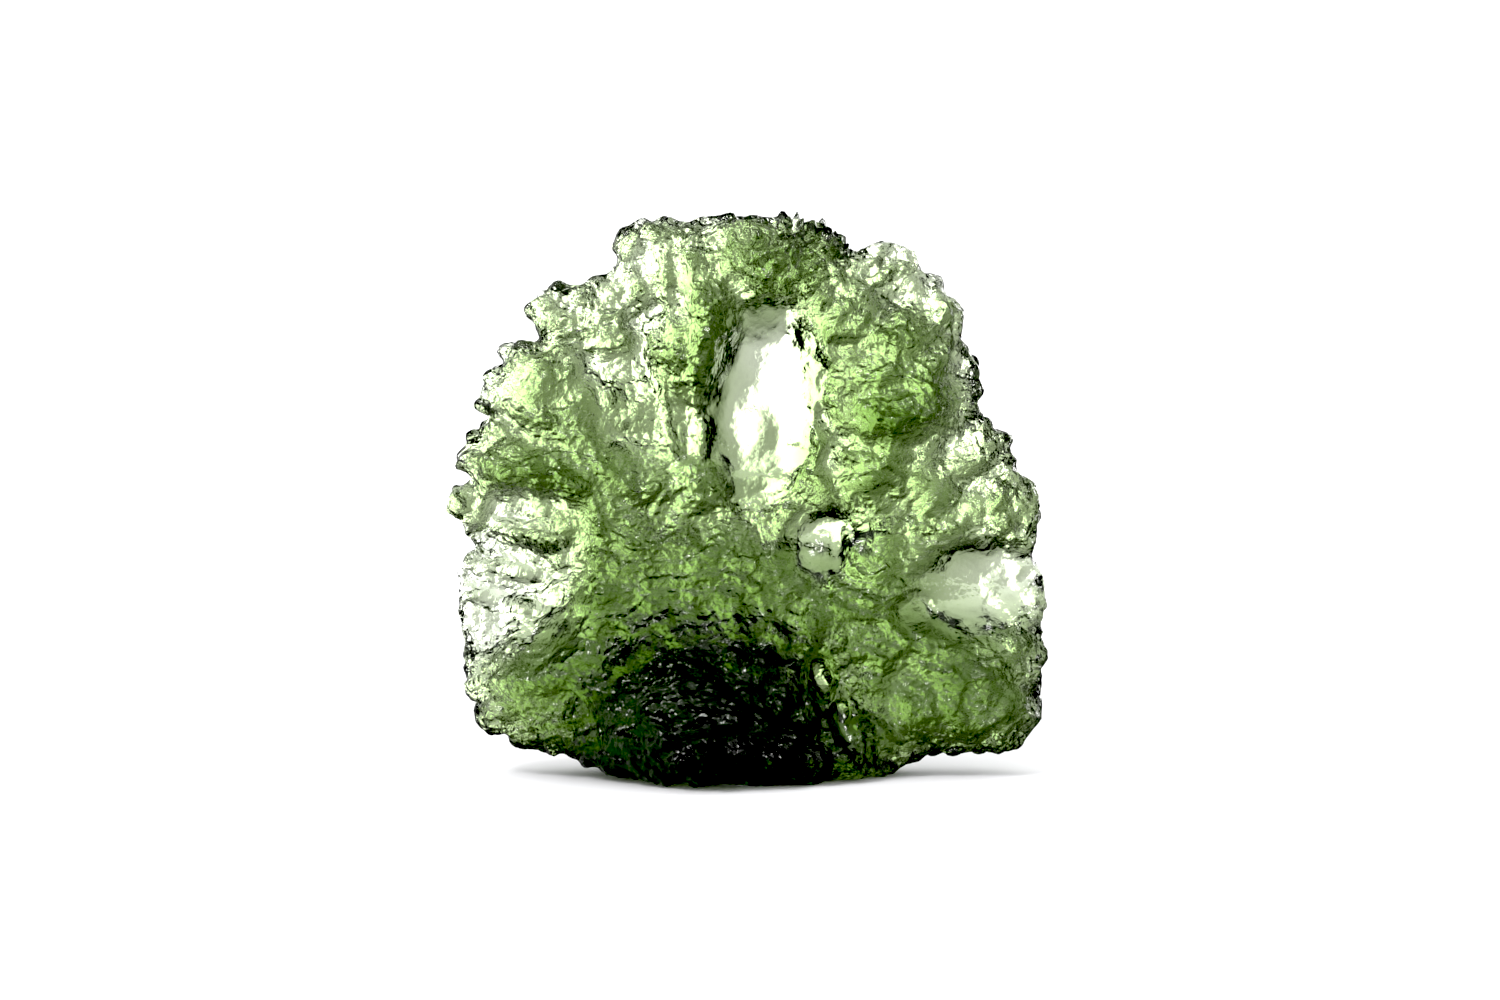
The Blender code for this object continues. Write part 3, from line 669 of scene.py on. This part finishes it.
def studio_world():
    """Pale where it is looked at or lights the floor, and a few soft lights where the glass sees it."""
    world = bpy.data.worlds.new("studio")
    bpy.context.scene.world = world
    world.use_nodes = True
    tree = world.node_tree
    seen = tree.nodes.new("ShaderNodeLightPath")
    behind = combined(tree, "ADD", lobe(tree, *LOW_LIGHT), lobe(tree, *WIDE_LIGHT))
    shown = combined(tree, "MAXIMUM", lobe(tree, *ABOVE_FLOOR), seen.outputs["Is Transmission Ray"])
    light = combined(tree, "MULTIPLY", behind, shown)
    light = combined(tree, "ADD", light, DIM_SKY)
    for fill_light in FILL_LIGHTS:
        light = combined(tree, "ADD", light, lobe(tree, *fill_light))
    plain = combined(tree, "ADD", seen.outputs["Is Camera Ray"], seen.outputs["Is Diffuse Ray"])
    pick = tree.nodes.new("ShaderNodeMix")
    pick.data_type = "RGBA"
    tree.links.new(plain, pick.inputs["Factor"])
    tree.links.new(light, pick.inputs["A"])
    pick.inputs["B"].default_value = PALE_SKY
    tree.links.new(pick.outputs["Result"], tree.nodes["Background"].inputs["Color"])


class MOLDAVITE_OT_stage(bpy.types.Operator):
    """Lays the pale floor, lights the studio and sets up the camera"""

    bl_idname = "moldavite.stage"
    bl_label = "Stage"

    def execute(self, context):
        settings = context.scene.moldavite_stage
        bpy.ops.mesh.primitive_circle_add(
            vertices=FLOOR_SIDES, radius=FLOOR_RADIUS, fill_type="NGON", location=(0, 0, -FLOOR_DROP)
        )
        floor = context.active_object
        floor.name = "floor"
        material = bpy.data.materials.new("pale floor")
        material.use_nodes = True
        shader = material.node_tree.nodes["Principled BSDF"]
        shader.inputs["Base Color"].default_value = FLOOR_COLOUR
        shader.inputs["Roughness"].default_value = FLOOR_ROUGHNESS
        floor.data.materials.append(material)
        floor.visible_glossy = False
        studio_world()
        back = Vector((0.0, -math.cos(settings.elevation), math.sin(settings.elevation)))
        bpy.ops.object.camera_add(location=Vector(LOOKED_AT) + back * settings.distance)
        camera = context.active_object
        camera.rotation_euler = (-back).to_track_quat("-Z", "Y").to_euler()
        camera.data.lens = LENS
        camera.data.sensor_width = SENSOR_WIDTH
        camera.data.clip_start = NEAREST_SEEN
        camera.data.clip_end = FARTHEST_SEEN
        context.scene.camera = camera
        view = context.scene.view_settings
        view.view_transform = "Standard"
        view.use_curve_mapping = True
        view.curve_mapping.black_level = (BLACK_LEVEL, BLACK_LEVEL, BLACK_LEVEL)
        view.curve_mapping.update()
        return {"FINISHED"}


class MOLDAVITE_PT_panel(bpy.types.Panel):
    """Lists the settings and steps of the moldavite"""

    bl_label = "Moldavite"
    bl_idname = "MOLDAVITE_PT_panel"
    bl_space_type = "VIEW_3D"
    bl_region_type = "UI"
    bl_category = "Moldavite"

    def draw(self, context):
        for name, group in GROUPS.items():
            settings = getattr(context.scene, name)
            for value in group.__annotations__:
                self.layout.prop(settings, value)
        self.layout.operator("moldavite.stone")
        self.layout.operator("moldavite.stage")


GROUPS = {
    "moldavite_stone": StoneSettings,
    "moldavite_glass": GlassSettings,
    "moldavite_stage": StageSettings,
}
CLASSES = (*GROUPS.values(), MOLDAVITE_OT_stone, MOLDAVITE_OT_stage, MOLDAVITE_PT_panel)


def register():
    for cls in CLASSES:
        bpy.utils.register_class(cls)
    for name, group in GROUPS.items():
        setattr(bpy.types.Scene, name, bpy.props.PointerProperty(type=group))


def unregister():
    for name in GROUPS:
        delattr(bpy.types.Scene, name)
    for cls in reversed(CLASSES):
        bpy.utils.unregister_class(cls)


def main():
    register()
    bpy.ops.moldavite.stone()
    bpy.ops.moldavite.stage()


if __name__ == "__main__":
    main()
